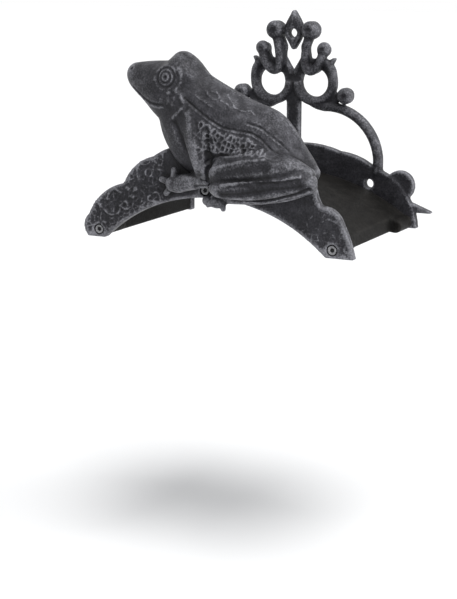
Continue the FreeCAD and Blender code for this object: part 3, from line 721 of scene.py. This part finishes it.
# Side, height, radius
SCROLL_RINGS = (
    (-61.7, 60.0, 12.2), (-61.7, 60.0, 3.4), (-72.6, 37.0, 7.4), (-78.9, 37.6, 1.2),
    (-75.3, 44.8, 1.2), (-83.9, 44.4, 1.2), (129, 7, 2.6),
)
SCROLL_RISE, SCROLL_WIDTH, SCROLL_SHARE, RIGHT_SHARE = 1.6, 1.1, 0.8, 0.45
RING_LEAST, RING_MORE, RING_WIDE = 0.3, 0.6, 6.0
VEIN_LOW, VEIN_HIGH, VEIN_CELL, VEIN_STRAY = (-130.0, 0.0), (135.0, 80.0), 5.0, 2.0
VEIN_WIDTH, VEIN_SHARE = 1.5, 0.6
LEFT_ARM_END, RIGHT_ARM_START = -46.0, 84.0
FACE_REACH, FACE_NORMAL = 1.2, -0.7
on_face = (np.abs(outs - PLATE_OUT) < FACE_REACH) & (normals[:, 1] < FACE_NORMAL)
relief = np.zeros(len(spots))
for line in SCROLL_LINES:
    gap = gap_to(front_view, curve_through(line, LINE_STEPS))
    relief = np.maximum(relief, SCROLL_SHARE * np.exp(-(gap / SCROLL_WIDTH) ** 2))
for side, height, radius in SCROLL_RINGS:
    gap = np.hypot(sides - side, heights - height) - radius
    rise = RING_LEAST + RING_MORE / (1 + radius / RING_WIDE)
    relief = np.maximum(relief, rise * np.exp(-(gap / SCROLL_WIDTH) ** 2))
veins = stray_cells(VEIN_LOW, VEIN_HIGH, VEIN_CELL, VEIN_STRAY)
vein_rise = VEIN_SHARE * rng.uniform(0.0, 1.0, len(veins))
worked = np.nonzero(on_face & ((sides < LEFT_ARM_END) | (sides > RIGHT_ARM_START)))[0]
vein_net = net_between(veins, vein_rise, front_view[worked], VEIN_WIDTH)
relief[worked] = np.maximum(relief[worked], vein_net)
push += on_face * SCROLL_RISE * relief * uneven * np.where(sides < 0, 1.0, RIGHT_SHARE)
move_to(frog_plate.data, points + normals * push[:, None])

# The coat is rubbed most on the warts; the shin under the leg's ridge is darkened as painted shade
FLANK_RUB, SHIN_PAINTED_SHADE, SHIN_WIDTH, SHIN_DROP = 0.4, 0.45, 4.5, 7.5
# Painted shade: the shin under the leg's ridge gets a lower relief, which darkens the coat there.
rub_and_painted_shade = FLANK_RUB * on_flank - ridge(LEG_RIDGE, SHIN_PAINTED_SHADE, SHIN_WIDTH, SHIN_DROP)
keep_relief(frog_plate.data, RELIEF_ROUNDS, FROG_RELIEF, rub_and_painted_shade)
frog_plate.data.materials.append(antique)
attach(frog_plate, "root")
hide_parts("frog_front_plate")

# Front screws: three turned pan-head screws of blackened steel, sunk in round recesses of the
# front plate. Their edges are worn bright, and the sunk socket in the middle is painted shade.
FRONT_SCREW_VOXEL = 0.35
SCREW_SPANS = ((-130, -100), (-20, 20), (100, 130))
SOCKET_HALF, SOCKET_DEPTH, RIM_HALF, FACE_DEPTH = 1.9, 1.6, 3.9, 0.6
front_screws = screw_skin("front_screws_turned", "front_screws", FRONT_SCREW_VOXEL)
points = points_of(front_screws.data)
wear_and_shade = np.zeros(len(points), np.float32)
face = points[:, 1].min()
for left, right in SCREW_SPANS:
    mine = (points[:, 0] > left) & (points[:, 0] < right)
    middle = (points[mine].min(axis=0) + points[mine].max(axis=0)) / 2
    away = np.hypot(points[:, 0] - middle[0], points[:, 2] - middle[2])
    front = mine & (points[:, 1] < face + FACE_DEPTH)
    wear_and_shade[front & (away < RIM_HALF)] = 1
    # Painted shade: the socket is marked as a deep hollow, so the coat darkens it.
    wear_and_shade[front & (away < SOCKET_HALF)] = -1
    points[front & (away < SOCKET_HALF), 1] += SOCKET_DEPTH
move_to(front_screws.data, points)
front_screws.data.attributes["relief"].data.foreach_set("value", wear_and_shade)

# Stage: a pale floor well below the hanger, a white surround, and soft light from above and from
# the right. The camera stands to the right and looks slightly down.
FLOOR_HEIGHT, FLOOR_HALF = -0.4, 12.0
PAPER_COLOUR, PAPER_ROUGHNESS = (0.95, 0.95, 0.95, 1), 0.9
# Name, strength, spread in degrees, where the light comes from
LIGHTS = (
    ("high_light", 2.0, 26, (0.3, -0.3, 0.9)),
    ("right_light", 2.0, 60, (0.9, -0.12, 0.55)),
)
SURROUND_COLOUR, SURROUND_STRENGTH = (0.85, 0.87, 0.9, 1), 0.3
floor_mesh = bpy.data.meshes.new("floor")
corners = [
    (x * FLOOR_HALF, y * FLOOR_HALF, FLOOR_HEIGHT) for x, y in ((-1, -1), (1, -1), (1, 1), (-1, 1))
]
floor_mesh.from_pydata(corners, [], [(0, 1, 2, 3)])
floor = bpy.data.objects.new("floor", floor_mesh)
bpy.context.scene.collection.objects.link(floor)
paper = bpy.data.materials.new("paper")
paper.use_nodes = True
paper_shader = paper.node_tree.nodes["Principled BSDF"]
paper_shader.inputs["Base Color"].default_value = PAPER_COLOUR
paper_shader.inputs["Roughness"].default_value = PAPER_ROUGHNESS
floor_mesh.materials.append(paper)

for name, strength, spread, way in LIGHTS:
    sun = bpy.data.lights.new(name, "SUN")
    sun.energy = strength
    sun.angle = math.radians(spread)
    lamp = bpy.data.objects.new(name, sun)
    lamp.rotation_euler = Vector(way).to_track_quat("Z", "Y").to_euler()
    bpy.context.scene.collection.objects.link(lamp)

world = bpy.data.worlds.new("surround")
world.use_nodes = True
bpy.context.scene.world = world
tree = world.node_tree
surround = tree.nodes["Background"]
surround.inputs["Color"].default_value = SURROUND_COLOUR
surround.inputs["Strength"].default_value = SURROUND_STRENGTH
white = node(tree, "Background", {"Color": (1, 1, 1, 1), "Strength": 1.0}).outputs[0]
paths = node(tree, "LightPath").outputs
seen = math_of(tree, "MAXIMUM", paths["Is Camera Ray"], paths["Is Glossy Ray"])
seen = math_of(tree, "MAXIMUM", seen, paths["Is Transmission Ray"])
mixed = node(tree, "MixShader", {0: seen, 1: surround.outputs[0], 2: white}).outputs[0]
tree.links.new(mixed, tree.nodes["World Output"].inputs["Surface"])

CAMERA_SPOT = (624.11, -1372.91, 171.47)
CAMERA_RIGHT = (0.891798, 0.452435, 0.0)
CAMERA_UP = (-0.099466, 0.196058, 0.975535)
CAMERA_BACK = (0.441366, -0.869979, 0.219846)
FOCAL_PIXELS, LONG_SIDE, SENSOR = 1563.2, 599.0, 36.0
optics = bpy.data.cameras.new("camera")
optics.sensor_width = SENSOR
optics.lens = FOCAL_PIXELS * SENSOR / LONG_SIDE
camera = bpy.data.objects.new("camera", optics)
turned = Matrix((CAMERA_RIGHT, CAMERA_UP, CAMERA_BACK)).transposed().to_4x4()
camera.matrix_world = Matrix.Translation(Vector(CAMERA_SPOT) * MM) @ turned
bpy.context.scene.collection.objects.link(camera)
bpy.context.scene.camera = camera
bpy.context.scene.view_settings.view_transform = "Standard"
